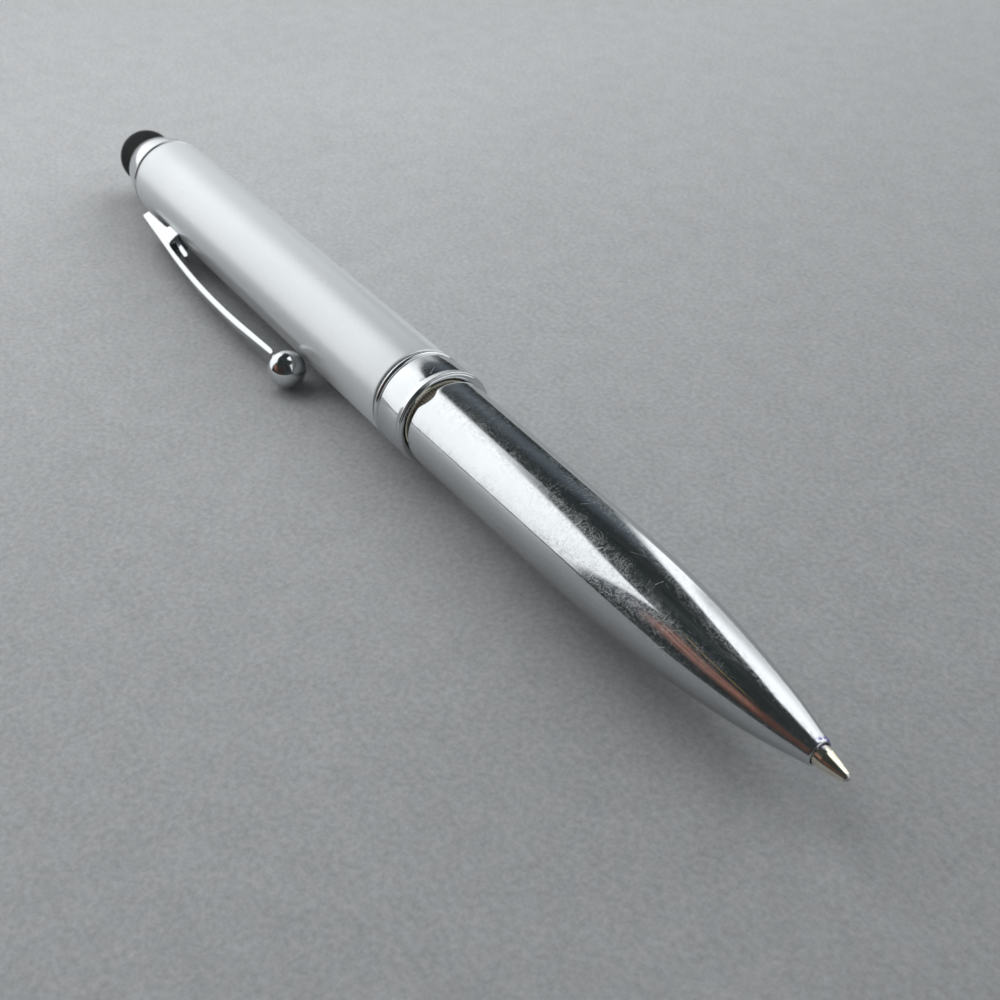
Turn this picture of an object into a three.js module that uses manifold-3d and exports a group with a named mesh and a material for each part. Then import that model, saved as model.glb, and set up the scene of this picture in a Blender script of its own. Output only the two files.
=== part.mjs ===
// Twist-action ballpoint pen with a stylus dome on its rear end, modelled piece by piece.
// Units are millimetres, +Z is up. The pen lies on the plane z = 0 with its axis along X and its
// writing point towards +X ("front"). Inside the group "pen" the origin is on the axis, at the
// seam between the stylus collar and the upper barrel; names ending in _X are places along it.
import * as THREE from "three";
import { mergeVertices } from "three/addons/utils/BufferGeometryUtils.js";
import Module from "manifold-3d";

const wasm = await Module();
wasm.setup();

const { degToRad } = THREE.MathUtils;

// ---------------------------------------------------------------- driving dimensions
const SIDES = 36; // facets round the large turned pieces
const SMALL_SIDES = 18; // facets round the refill, the pin and the clip's shank
const PLUG_SIDES = 32;
const CLIP_BALL_SIDES = 24;

const BARREL_R = 5.34; // upper barrel, outside
const BARREL_BORE = 4.75; // every "bore" is a radius
const BARREL_END_X = 64.45; // front end of the upper barrel
const INSERT_R = BARREL_BORE - 0.05; // brass sleeves that sit in the upper barrel

const DOME_R = 3.72; // rubber stylus dome
const DOME_INNER_R = 2.7;
const DOME_START_X = -6.38; // where the dome leaves the collar
const DOME_CENTRE_X = -8.93; // centre of the dome's round end

const RING_START_X = BARREL_END_X + 0.2;
const RING_END_X = 70.0;
const RING_R = 5.5;

const LOWER_START_X = 70.62; // rear edge of the lower barrel
const NOSE_END_X = 124.12;
const NOSE_BORE = 1.0;

const TRAVEL = 5.5; // how far half a turn draws the refill back
const PIN_X = 59.1; // place of the slider's pin with the point out
const PIN_R = 0.5;
const PIN_ANGLE = Math.PI / 2; // the pin stands upwards

const HOUSING_R = 3.95;
const HOUSING_BORE = 3.3;
const CORE_R = 3.2;
const CORE_BORE = 2.55;
const CIRCLIP_X = 50.6; // middle of the core's rear groove
const SEAL_X = 64.2; // middle of the core's front groove
const NECK_R = 4.22;

const TUBE_R = 1.175; // refill tube
const TUBE_BORE = 1.0;
const TUBE_FILL_R = TUBE_BORE - 0.06; // ink and the root of the tip, inside the tube
const TIP_R = 0.92;
const POINT_BALL_R = 0.35;
const POINT_BALL_X = 126.86;

const CLIP_TILT = 25.3; // degrees below the horizontal at which the clip stands, on the -Y side
const CLIP_WIDTH = 2.6;
const ARM_WIDTH = 2.4;
const TONGUE_WIDTH = 1.2;
const CLIP_BALL_R = 2.2;
const CLIP_BALL_X = 47.3;
const CLIP_BALL_OFFSET = 7.64; // from the pen's axis
const CLIP_FORWARD = 0.55; // how far the clip's outlines, shank and slot are moved forward

const AXIS_HEIGHT = RING_R; // the centre ring, the thickest piece, touches z = 0
const AXIS_Y = 1.793; // centres the box of pen and clip on y = 0
// Centres the pen's length on x = 0.
const SEAM_X = -(POINT_BALL_X + POINT_BALL_R + DOME_CENTRE_X - DOME_R) / 2;

// ---------------------------------------------------------------- materials
const metal = (look) => new THREE.MeshStandardMaterial({ metalness: 1, ...look });
const plain = (look) => new THREE.MeshStandardMaterial({ metalness: 0, ...look });
const MATERIAL = {
  satin: metal({ color: 0xd6dadd, roughness: 0.38, metalness: 0.65 }),
  chrome: metal({ color: 0xe2e4e6, roughness: 0.07 }),
  rubber: plain({ color: 0x0c0c0d, roughness: 0.75 }),
  brass: metal({ color: 0xb59a5a, roughness: 0.35 }),
  neck: metal({ color: 0x8f8560, roughness: 0.45 }),
  steel: metal({ color: 0xa9abad, roughness: 0.3 }),
  nickel: metal({ color: 0xd8cfa6, roughness: 0.18 }),
  nylon: plain({ color: 0xe9e6dc, roughness: 0.5 }),
  seal: plain({ color: 0x2a1f1a, roughness: 0.6 }),
  ink: plain({ color: 0x1a1f78, roughness: 0.25 }),
};

// ---------------------------------------------------------------- turned and flat shapes
// Volume of an indexed geometry; negative when its faces point inwards.
function signedVolume({ index, attributes }) {
  const corners = [new THREE.Vector3(), new THREE.Vector3(), new THREE.Vector3()];
  let volume = 0;
  for (let i = 0; i < index.count; i += 3) {
    corners.forEach((corner, k) =>
      corner.fromBufferAttribute(attributes.position, index.getX(i + k)),
    );
    volume += corners[0].dot(corners[1].cross(corners[2])) / 6;
  }
  return volume;
}

// A turned piece about X. Every profile is a list of [distance along X, radius].
function turned(profile, sides = SIDES) {
  const build = (stations) => {
    const points = stations.map(([x, radius]) => new THREE.Vector2(radius, x));
    return new THREE.LatheGeometry(points, sides).rotateZ(-Math.PI / 2);
  };
  const geometry = build(profile);
  return signedVolume(geometry) > 0 ? geometry : build([...profile].reverse());
}

// A turned piece with a bore: outer and inner outlines both run from the rear to the front.
function sleeve(outer, inner, sides = SIDES) {
  return turned([...outer, ...[...inner].reverse(), outer[0]], sides);
}

// A turned piece without a bore.
function plug(outer, sides = SIDES) {
  return turned([[outer[0][0], 0], ...outer, [outer.at(-1)[0], 0]], sides);
}

// Outline of a plain cylinder, and a plain tube made of two.
const straight = (start, end, radius) => [[start, radius], [end, radius]];
const tube = ({ start, end, radius, bore }) =>
  sleeve(straight(start, end, radius), straight(start, end, bore));

// A flat outline in (x, y), given a thickness centred on z = 0.
function plate(outline, thickness) {
  const shape = new THREE.Shape(outline.map(([x, y]) => new THREE.Vector2(x, y)));
  const extrusion = { depth: thickness, bevelEnabled: false, steps: 1 };
  return new THREE.ExtrudeGeometry(shape, extrusion).translate(0, 0, -thickness / 2);
}

// ---------------------------------------------------------------- cutting and joining
function solid(geometry) {
  // Normals and UVs go first, so that vertices merge by position alone.
  geometry.deleteAttribute("normal");
  geometry.deleteAttribute("uv");
  const merged = mergeVertices(geometry, 1e-4);
  return new wasm.Manifold(
    new wasm.Mesh({
      numProp: 3,
      vertProperties: new Float32Array(merged.getAttribute("position").array),
      triVerts: new Uint32Array(merged.index.array),
    }),
  );
}

function geometryOf(manifold) {
  const { vertProperties, triVerts } = manifold.getMesh();
  const geometry = new THREE.BufferGeometry();
  const positions = new Float32Array(vertProperties);
  geometry.setAttribute("position", new THREE.BufferAttribute(positions, 3));
  geometry.setIndex(new THREE.BufferAttribute(new Uint32Array(triVerts), 1));
  geometry.computeVertexNormals();
  return geometry;
}

function cut(geometry, ...tools) {
  return geometryOf(tools.reduce((body, tool) => body.subtract(solid(tool)), solid(geometry)));
}

function join(first, second) {
  return geometryOf(solid(first).add(solid(second)));
}

const pen = new THREE.Group();
pen.position.set(SEAM_X, AXIS_Y, AXIS_HEIGHT);

function piece(name, geometry, material) {
  const mesh = new THREE.Mesh(geometry, material);
  mesh.name = name;
  pen.add(mesh);
}

// ---------------------------------------------------------------- rear end: collar, dome, plug
// Chrome collar: swells from the dome to the barrel, with a fine lip at the seam and a spigot
// inside the barrel. Plain ring ridges stand for the spigot's thread.
const SPIGOT_R = 4.0;
const RIDGE_R = 4.16;
const RIDGE_PITCH = 1.5;
const spigotRidges = Array.from({ length: 4 }, (_, i) => 1.2 + i * RIDGE_PITCH).flatMap((x) => [
  [x, SPIGOT_R], [x + 0.25, RIDGE_R], [x + 0.5, SPIGOT_R],
]);
piece(
  "stylus_collar",
  turned([
    // recess for the dome's stem
    [-2.9, 0], [-2.9, 3.42], [-6.3, 3.42],
    // swelling outside
    [-6.34, 3.74], [-6.2, 3.86], [-5.6, 4.08], [-4.6, 4.4], [-3.6, 4.67], [-2.6, 4.9],
    [-1.7, 5.06], [-1.0, 5.15],
    // lip
    [-0.85, 5.16], [-0.75, 5.28], [-0.5, 5.33], [-0.25, 5.28], [-0.12, 5.12],
    // spigot
    [-0.12, 4.05], [0.6, SPIGOT_R], ...spigotRidges, [6.6, SPIGOT_R], [6.9, 3.8], [6.9, 0],
  ]),
  MATERIAL.chrome,
);

// Hollow rubber dome with a stem that sits in the collar.
const STEM_R = 3.36;
const STEM_BORE = 2.55;
const STEM_END_X = -3.0;
// Quarter circle from the full radius towards the rear, without its last point on the axis.
const domeArc = (radius, steps) =>
  Array.from({ length: steps }, (_, i) => {
    const angle = (i / steps) * (Math.PI / 2);
    return [DOME_CENTRE_X - radius * Math.sin(angle), radius * Math.cos(angle)];
  });
piece(
  "stylus_dome",
  turned([
    [STEM_END_X, STEM_BORE],
    [STEM_END_X, STEM_R],
    [DOME_START_X, STEM_R],
    [DOME_START_X, DOME_R],
    ...domeArc(DOME_R, 7),
    [DOME_CENTRE_X - DOME_R, 0],
    [DOME_CENTRE_X - DOME_INNER_R, 0],
    ...domeArc(DOME_INNER_R, 4).reverse(),
    [DOME_START_X, DOME_INNER_R],
    [-5.6, STEM_BORE],
    [STEM_END_X, STEM_BORE],
  ]),
  MATERIAL.rubber,
);

// Plug in the bore of the stem.
piece(
  "dome_plug",
  plug([[-7.4, 1.6], [-7.1, 1.9], [-5.7, 1.9], [-5.4, 2.48], [STEM_END_X, 2.48]], PLUG_SIDES),
  MATERIAL.nylon,
);

// Brass bush pressed into the barrel; the collar's spigot screws into it.
piece(
  "collar_bush",
  tube({ start: 0.25, end: 7.0, radius: INSERT_R, bore: 4.22 }),
  MATERIAL.brass,
);

// ---------------------------------------------------------------- upper barrel
// The clip is drawn in (x, y) with y away from the pen's axis, then turned from +Y to its place.
const clipTurn = degToRad(180 + CLIP_TILT);
const clipSide = (geometry) => geometry.translate(CLIP_FORWARD, 0, 0).rotateX(clipTurn);

// Slot through the wall for the clip's leg.
const SLOT_LENGTH = 3.7;
const SLOT_DEPTH = 2.2;
const SLOT_CENTRE = [11.65, 5.1, 0];
const clipSlot = new THREE.BoxGeometry(SLOT_LENGTH, SLOT_DEPTH, CLIP_WIDTH + 0.4);
clipSlot.translate(...SLOT_CENTRE);
const upperOuter = [
  [0.0, 5.22],
  [0.12, BARREL_R - 0.03],
  [0.4, BARREL_R],
  [BARREL_END_X - 0.3, BARREL_R],
  [BARREL_END_X, BARREL_R - 0.1],
];
piece(
  "upper_barrel",
  cut(sleeve(upperOuter, straight(0, BARREL_END_X, BARREL_BORE)), clipSide(clipSlot)),
  MATERIAL.satin,
);

// Tube that the collar's spigot clamps against the clip's foot.
piece(
  "clip_retainer",
  tube({ start: 7.05, end: 17.0, radius: 3.84, bore: 3.2 }),
  MATERIAL.brass,
);

// ---------------------------------------------------------------- clip
// Outlines are [distance along the pen, distance from its axis].
// The root sits on the barrel, its leg passes the slot and its foot hooks inside the wall.
const rootOutline = [
  [4.1, 5.62], [4.0, 6.5], [4.12, 6.66], [13.0, 7.5], [13.3, 7.5], [13.3, 6.95],
  [13.25, 6.6], [13.1, 6.2], [13.02, 5.75], [13.0, 4.42], [13.0, 3.95], [8.6, 3.95],
  [8.6, 4.42], [10.1, 4.42], [10.1, 5.46], [9.6, 5.56],
];
// The tongue lies under the arm.
const tongueOutline = [
  [12.9, 5.66], [14.4, 5.78], [16.6, 6.0], [17.2, 6.22], [17.1, 6.55], [16.7, 6.66],
  [15.2, 6.5], [13.9, 6.25], [12.9, 6.15],
];
piece(
  "clip_root",
  clipSide(join(plate(rootOutline, CLIP_WIDTH), plate(tongueOutline, TONGUE_WIDTH))),
  MATERIAL.chrome,
);

// The arm is the springy length between the root and the ball, with a round shank that enters
// the ball.
const armOutline = [
  // outer edge, rear to front
  [13.36, 6.9], [13.36, 7.53], [16.5, 7.85], [20.0, 8.12], [24.0, 8.33], [28.0, 8.42],
  [32.0, 8.42], [36.0, 8.29], [40.0, 8.06], [43.0, 7.85], [43.9, 7.83],
  // inner edge, front to rear
  [43.9, 7.42], [43.2, 7.25], [40.0, 7.39], [36.0, 7.58], [32.0, 7.72], [28.0, 7.73],
  [24.0, 7.65], [20.0, 7.46], [16.5, 7.24], [13.9, 7.0],
];
const shank = plug(straight(43.3, 45.55, 0.36), SMALL_SIDES);
shank.translate(0, CLIP_BALL_OFFSET, 0);
piece("clip_arm", clipSide(join(plate(armOutline, ARM_WIDTH), shank)), MATERIAL.chrome);

// Ball with a blind hole in its rear for the shank. It is placed without CLIP_FORWARD.
const BALL_HOLE_R = 0.5;
const BALL_HOLE_END_X = 46.4;
const BALL_STEPS = 10;
const ballArc = Array.from({ length: BALL_STEPS }, (_, i) => {
  const holeEdge = Math.PI - Math.asin(BALL_HOLE_R / CLIP_BALL_R);
  const angle = holeEdge * (1 - i / BALL_STEPS);
  return [CLIP_BALL_X + CLIP_BALL_R * Math.cos(angle), CLIP_BALL_R * Math.sin(angle)];
});
const clipBall = turned(
  [
    [BALL_HOLE_END_X, 0],
    [BALL_HOLE_END_X, BALL_HOLE_R],
    ...ballArc,
    [CLIP_BALL_X + CLIP_BALL_R, 0],
  ],
  CLIP_BALL_SIDES,
);
clipBall.translate(0, CLIP_BALL_OFFSET, 0).rotateX(clipTurn);
piece("clip_ball", clipBall, MATERIAL.chrome);

// ---------------------------------------------------------------- centre ring and its sleeve
piece(
  "ring_sleeve",
  tube({ start: 53.0, end: 69.6, radius: INSERT_R, bore: 4.02 }),
  MATERIAL.brass,
);

// Columns: distance from the ring's rear edge, radius. A bead and a groove, then the band.
const ringRear = [
  [0, 5.18], [0.1, 5.36], [0.32, 5.44], [0.54, 5.36], [0.64, 5.2], [0.94, 5.18],
  [1.04, 5.34], [1.24, 5.39], [2.2, 5.35], [3.4, 5.36], [4.3, 5.42],
];
piece(
  "centre_ring",
  sleeve(
    [
      ...ringRear.map(([x, radius]) => [RING_START_X + x, radius]),
      [RING_END_X - 0.45, RING_R],
      [RING_END_X - 0.15, RING_R],
      [RING_END_X, 5.38],
    ],
    [[RING_START_X, 4.76], [69.66, 4.76], [69.66, 4.42], [RING_END_X, 4.42]],
  ),
  MATERIAL.chrome,
);

// ---------------------------------------------------------------- twist mechanism, fixed half
// The slider's pin runs in this helical slot: half a turn draws it back by the travel.
const HELIX_R = 3.62; // about the middle of the housing's wall
const HELIX_SLOT_R = 0.78; // half the slot's width
const HELIX_OVERRUN = degToRad(14); // extra turn at either end
class HelixCurve extends THREE.Curve {
  getPoint(fraction, target = new THREE.Vector3()) {
    const turn = -Math.PI - HELIX_OVERRUN + (Math.PI + 2 * HELIX_OVERRUN) * fraction;
    const angle = PIN_ANGLE + turn;
    return target.set(
      PIN_X + (TRAVEL / Math.PI) * turn,
      HELIX_R * Math.cos(angle),
      HELIX_R * Math.sin(angle),
    );
  }
}
const slotSection = new THREE.Shape();
slotSection.absarc(0, 0, HELIX_SLOT_R, 0, Math.PI * 2, false);
const helixTool = new THREE.ExtrudeGeometry(slotSection, {
  extrudePath: new HelixCurve(),
  steps: 30,
  bevelEnabled: false,
  curveSegments: 5,
});
const housingBody = sleeve(
  straight(47.0, 69.4, HOUSING_R),
  [[47.0, 3.6], [51.9, 3.6], [51.9, HOUSING_BORE], [69.4, HOUSING_BORE]],
);
piece("mechanism_housing", cut(housingBody, helixTool), MATERIAL.brass);

piece(
  "mechanism_end_cap",
  plug([[45.8, 3.7], [46.0, 3.9], [46.94, 3.9], [46.94, 3.54], [48.6, 3.54]]),
  MATERIAL.nylon,
);

// ---------------------------------------------------------------- twist mechanism, turning half
// The core has a groove for the circlip, a groove for the O-ring and a straight slot for the pin.
const groove = (middle, halfWidth, floor) => [
  [middle - halfWidth, CORE_R],
  [middle - halfWidth, floor],
  [middle + halfWidth, floor],
  [middle + halfWidth, CORE_R],
];
const coreOuter = [
  [49.3, CORE_R],
  ...groove(CIRCLIP_X, 0.3, 2.92),
  ...groove(SEAL_X, 0.4, 2.86),
  [77.6, CORE_R],
  [77.8, 3.0],
];
const STRAIGHT_SLOT_WIDTH = 1.32;
const STRAIGHT_SLOT_DEPTH = 2.2;
const straightSlot = new THREE.BoxGeometry(
  TRAVEL + 1.5,
  STRAIGHT_SLOT_WIDTH,
  STRAIGHT_SLOT_DEPTH,
);
straightSlot.translate(PIN_X - TRAVEL / 2, 0, 2.9);
piece(
  "twist_core",
  cut(sleeve(coreOuter, straight(49.3, 77.8, CORE_BORE)), straightSlot),
  MATERIAL.steel,
);

piece(
  "thrust_washer",
  tube({ start: 51.45, end: 51.82, radius: 3.52, bore: 3.27 }),
  MATERIAL.nylon,
);

// Open snap ring in the core's rear groove, with its gap downwards.
const CIRCLIP_THICKNESS = 0.4;
const halfGap = degToRad(24);
const circlipShape = new THREE.Shape();
circlipShape.absarc(0, 0, 3.52, halfGap, Math.PI * 2 - halfGap, false);
circlipShape.absarc(0, 0, 2.98, Math.PI * 2 - halfGap, halfGap, true);
circlipShape.closePath();
const circlip = new THREE.ExtrudeGeometry(circlipShape, {
  depth: CIRCLIP_THICKNESS,
  bevelEnabled: false,
  curveSegments: 16,
});
circlip.translate(0, 0, -CIRCLIP_THICKNESS / 2);
circlip.rotateY(Math.PI / 2);
circlip.translate(CIRCLIP_X, 0, 0);
piece("circlip", circlip, MATERIAL.steel);

// O-ring of oval section in the core's front groove.
const SEAL_STEPS = 8;
const sealSection = Array.from({ length: SEAL_STEPS }, (_, i) => {
  const angle = (i / SEAL_STEPS) * Math.PI * 2;
  return [SEAL_X + 0.3 * Math.cos(angle), 3.08 + 0.17 * Math.sin(angle)];
});
piece("friction_o_ring", turned([...sealSection, sealSection[0]]), MATERIAL.seal);

// Splined brass neck on the core. It shows in the gap behind the lower barrel, which is pushed
// over it.
const SPLINES = 30;
const SPLINE_CUT = 0.26; // side of the square cutter, which is turned onto its edge
const neckBody = sleeve(
  [[69.75, 4.12], [69.9, NECK_R], [78.8, NECK_R], [79.2, 4.0]],
  straight(69.75, 79.2, 3.26),
);
const splineCuts = Array.from({ length: SPLINES }, (_, i) =>
  new THREE.BoxGeometry(9.8, SPLINE_CUT, SPLINE_CUT)
    .rotateX(Math.PI / 4)
    .translate(74.5, 0, NECK_R + 0.05)
    .rotateX((i / SPLINES) * Math.PI * 2),
);
piece("splined_neck", cut(neckBody, ...splineCuts), MATERIAL.neck);

// ---------------------------------------------------------------- lower barrel
const lowerOuter = [
  [LOWER_START_X, 4.7], [70.72, 4.81], [70.95, 4.86], [74.0, 4.84], [83.0, 4.73],
  [92.0, 4.64], [97.0, 4.57], [101.0, 4.47], [105.5, 4.25], [107.5, 4.08],
  [110.1, 3.82], [112.4, 3.53], [114.7, 3.2], [116.9, 2.84], [119.0, 2.45],
  [121.2, 1.97], [122.3, 1.69], [123.2, 1.44], [123.85, 1.31], [NOSE_END_X, 1.22],
];
const lowerInner = [
  [LOWER_START_X, 4.34], [79.4, 4.34], [79.6, 4.1], [94.0, 4.02], [103.0, 3.75],
  [110.0, 3.15], [115.0, 2.45], [119.5, 1.45], [121.3, NOSE_BORE], [NOSE_END_X, NOSE_BORE],
];

// Shallow rounded notch in the rear edge.
const NOTCH_ANGLE = 27.8; // degrees from straight up, towards -Y
const NOTCH_WIDTH = 3.1;
const NOTCH_DEPTH = 0.68;
const NOTCH_ROUNDING = 1.3; // power of the cosine that shapes the notch
const notchCurve = Array.from({ length: 11 }, (_, i) => {
  const across = -1 + i / 5;
  const depth = NOTCH_DEPTH * Math.pow(Math.cos((across * Math.PI) / 2), NOTCH_ROUNDING);
  return [LOWER_START_X + depth, (across * NOTCH_WIDTH) / 2];
});
const notchOutline = [
  [LOWER_START_X - 0.5, -NOTCH_WIDTH / 2],
  ...notchCurve,
  [LOWER_START_X - 0.5, NOTCH_WIDTH / 2],
];
const notch = plate(notchOutline, 1.6);
notch.translate(0, 0, 4.7).rotateX(degToRad(NOTCH_ANGLE));
piece("lower_barrel", cut(sleeve(lowerOuter, lowerInner), notch), MATERIAL.chrome);

// ---------------------------------------------------------------- slider and its pin
const SLIDER_R = CORE_BORE - 0.1;
const uprightPin = ({ radius, length, middle }) =>
  new THREE.CylinderGeometry(radius, radius, length, SMALL_SIDES)
    .rotateX(Math.PI / 2)
    .translate(PIN_X, 0, middle);

// The socket in the slider's front holds the refill tube.
const SOCKET_R = 1.24;
const SOCKET_FLOOR_X = 60.1;
const sliderBody = turned([
  [57.3, 0], [57.3, 2.2], [57.5, SLIDER_R], [62.6, SLIDER_R], [62.8, 2.25],
  [62.8, SOCKET_R], [SOCKET_FLOOR_X, SOCKET_R], [SOCKET_FLOOR_X, 0],
]);
const pinHole = uprightPin({ radius: PIN_R + 0.08, length: 1.4, middle: 2.05 });
piece("slider", cut(sliderBody, pinHole), MATERIAL.brass);
piece("slider_pin", uprightPin({ radius: PIN_R, length: 2.4, middle: 2.62 }), MATERIAL.steel);

// ---------------------------------------------------------------- refill
piece(
  "refill_tube",
  sleeve(
    [[60.2, TUBE_R - 0.08], [60.5, TUBE_R], [120.6, TUBE_R], [121.0, TUBE_R - 0.12]],
    straight(60.2, 121.0, TUBE_BORE),
    SMALL_SIDES,
  ),
  MATERIAL.nickel,
);
piece("ink_column", plug(straight(66.0, 117.2, TUBE_FILL_R), SMALL_SIDES), MATERIAL.ink);

// The tip's bore narrows forwards, then opens into the seat of the writing ball.
piece(
  "refill_tip",
  sleeve(
    [
      [117.5, TUBE_FILL_R], [121.1, TUBE_FILL_R], [121.1, TIP_R], [124.85, TIP_R],
      [124.98, 0.87], [125.6, 0.74], [126.3, 0.57], [126.8, 0.44], [126.94, 0.4],
    ],
    [[117.5, 0.3], [125.6, 0.15], [126.3, 0.15], [126.46, 0.375], [126.94, 0.375]],
    SMALL_SIDES,
  ),
  MATERIAL.nickel,
);

const pointBall = new THREE.SphereGeometry(POINT_BALL_R, 16, 8);
pointBall.rotateZ(Math.PI / 2).translate(POINT_BALL_X, 0, 0);
piece("writing_ball", pointBall, MATERIAL.steel);

const root = new THREE.Group();
root.name = "twist_pen";
root.add(pen);

export default root;
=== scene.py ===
"""A twist ballpoint pen with a rubber stylus at its rear, lying on grey paper.

The axis runs along X, from the stylus dome at -X to the writing ball at +X. Places on the pen
are in millimetres: a distance along the axis from the seam between the stylus collar and the
upper barrel, a radius, and an angle from straight up (+Z) towards -Y. Meshes are in metres.
"""

import math
from functools import cached_property, reduce

import bmesh
import bpy
import numpy as np
from mathutils import Matrix, Vector


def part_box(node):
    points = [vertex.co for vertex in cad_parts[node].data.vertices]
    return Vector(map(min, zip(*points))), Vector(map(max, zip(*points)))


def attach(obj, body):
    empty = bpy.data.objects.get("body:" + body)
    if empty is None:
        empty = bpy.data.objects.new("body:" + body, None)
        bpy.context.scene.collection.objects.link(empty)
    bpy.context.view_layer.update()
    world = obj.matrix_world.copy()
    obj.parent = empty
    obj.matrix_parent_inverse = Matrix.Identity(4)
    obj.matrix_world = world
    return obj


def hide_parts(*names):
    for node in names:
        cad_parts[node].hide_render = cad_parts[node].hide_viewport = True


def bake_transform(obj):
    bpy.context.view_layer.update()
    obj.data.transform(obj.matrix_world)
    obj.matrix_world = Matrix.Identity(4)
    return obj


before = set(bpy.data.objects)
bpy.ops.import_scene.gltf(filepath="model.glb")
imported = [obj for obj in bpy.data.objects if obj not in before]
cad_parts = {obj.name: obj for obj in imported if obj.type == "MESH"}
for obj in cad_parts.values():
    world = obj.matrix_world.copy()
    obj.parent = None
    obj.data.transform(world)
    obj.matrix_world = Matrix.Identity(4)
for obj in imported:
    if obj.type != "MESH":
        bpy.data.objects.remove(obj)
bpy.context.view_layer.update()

# ------------------------------------------------------------------ the pen's axis
barrel_low, barrel_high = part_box("upper_barrel")
SEAM = barrel_low.x * 1000.0
AXIS_Y = (barrel_low.y + barrel_high.y) / 2 * 1000.0
AXIS_Z = (barrel_low.z + barrel_high.z) / 2 * 1000.0
ball_low, ball_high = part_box("clip_ball")
ball_centre = (ball_low + ball_high) / 2 * 1000.0
CLIP_ANGLE = math.degrees(math.atan2(-(ball_centre.y - AXIS_Y), ball_centre.z - AXIS_Z))


def in_metres(along, y, z):
    """Frame point of a distance along the axis and y, z offsets from it, all in mm."""
    return ((SEAM + along) / 1000.0, (AXIS_Y + y) / 1000.0, (AXIS_Z + z) / 1000.0)


def at(along, radius, angle, sideways=0.0):
    """Frame point of a place on the pen, moved sideways at right angles to its radius."""
    turn = math.radians(angle)
    y = -radius * math.sin(turn) - sideways * math.cos(turn)
    z = radius * math.cos(turn) - sideways * math.sin(turn)
    return in_metres(along, y, z)


# ------------------------------------------------------------------ outlines
# An outline is a list of (along, radius) points.
def swept(knots, steps):
    """steps + 1 points on the natural cubic spline through the knots."""
    xs = np.array([knot[0] for knot in knots], float)
    ys = np.array([knot[1] for knot in knots], float)
    count = len(xs)
    gaps = np.diff(xs)
    system = np.eye(count)
    target = np.zeros(count)
    for i in range(1, count - 1):
        system[i, i - 1 : i + 2] = gaps[i - 1], 2 * (gaps[i - 1] + gaps[i]), gaps[i]
        target[i] = 6 * ((ys[i + 1] - ys[i]) / gaps[i] - (ys[i] - ys[i - 1]) / gaps[i - 1])
    bend = np.linalg.solve(system, target)
    places = np.linspace(xs[0], xs[-1], steps + 1)
    k = np.clip(np.searchsorted(xs, places) - 1, 0, count - 2)
    t, gap = places - xs[k], gaps[k]
    heights = (
        ys[k]
        + t * ((ys[k + 1] - ys[k]) / gap - gap * (2 * bend[k] + bend[k + 1]) / 6)
        + t * t * bend[k] / 2
        + t**3 * (bend[k + 1] - bend[k]) / (6 * gap)
    )
    return list(zip(places.tolist(), heights.tolist()))


def arc(centre_along, centre_radius, size, start, end, steps):
    """Points on a circle of radius size, angles in degrees from +along towards +radius."""
    turns = [math.radians(start + (end - start) * i / steps) for i in range(steps + 1)]
    return [
        (centre_along + size * math.cos(turn), centre_radius + size * math.sin(turn))
        for turn in turns
    ]


def moved(points, distance):
    """The outline moved along the axis."""
    return [(distance + along, radius) for along, radius in points]


def rounded(points, size=0.05, steps=3, closed=True, least=28.0):
    """The outline with corners that turn by `least` degrees or more rounded off."""
    corners = [np.array(point, float) for point in points]
    result = []
    count = len(corners)
    for i, corner in enumerate(corners):
        if not closed and i in (0, count - 1):
            result.append(tuple(corner))
            continue
        back, ahead = corners[i - 1] - corner, corners[(i + 1) % count] - corner
        back_length, ahead_length = np.linalg.norm(back), np.linalg.norm(ahead)
        back, ahead = back / back_length, ahead / ahead_length
        inner = math.acos(max(-1.0, min(1.0, float(back @ ahead))))
        if math.degrees(math.pi - inner) < least:
            result.append(tuple(corner))
            continue
        cut = min(
            size / max(math.tan(inner / 2), 1e-6), 0.45 * back_length, 0.45 * ahead_length
        )
        first, last = corner + back * cut, corner + ahead * cut
        for k in range(steps + 1):
            t = k / steps
            result.append(tuple((1 - t) ** 2 * first + 2 * t * (1 - t) * corner + t * t * last))
    return result


def resample(points, pitch):
    """Splits the sides of a closed outline, so that none is longer than pitch."""
    result = []
    for i, (x, y) in enumerate(points):
        next_x, next_y = points[(i + 1) % len(points)]
        parts = max(1, int(math.ceil(math.hypot(next_x - x, next_y - y) / pitch)))
        result.extend(
            (x + (next_x - x) * k / parts, y + (next_y - y) * k / parts) for k in range(parts)
        )
    return result


def tube(outer, inner):
    return list(outer) + list(reversed(inner))


# ------------------------------------------------------------------ meshes
def add_object(name, data):
    added = bpy.data.objects.new(name, data)
    bpy.context.scene.collection.objects.link(added)
    return added


def shade(work, sharp):
    """Smooth faces, with edges sharp from `sharp` degrees up."""
    limit = math.radians(sharp)
    for face in work.faces:
        face.smooth = True
    for edge in work.edges:
        if len(edge.link_faces) == 2:
            edge.smooth = edge.calc_face_angle(0.0) < limit


def make_mesh(name, points, faces, sharp=34.0):
    mesh = bpy.data.meshes.new(name)
    mesh.from_pydata([tuple(point) for point in points], [], faces)
    mesh.validate(verbose=False)
    work = bmesh.new()
    work.from_mesh(mesh)
    bmesh.ops.remove_doubles(work, verts=work.verts, dist=1e-8)
    bmesh.ops.recalc_face_normals(work, faces=work.faces)
    if work.calc_volume(signed=True) < 0:
        bmesh.ops.reverse_faces(work, faces=work.faces)
    shade(work, sharp)
    work.to_mesh(mesh)
    work.free()
    return add_object(name, mesh)


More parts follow.
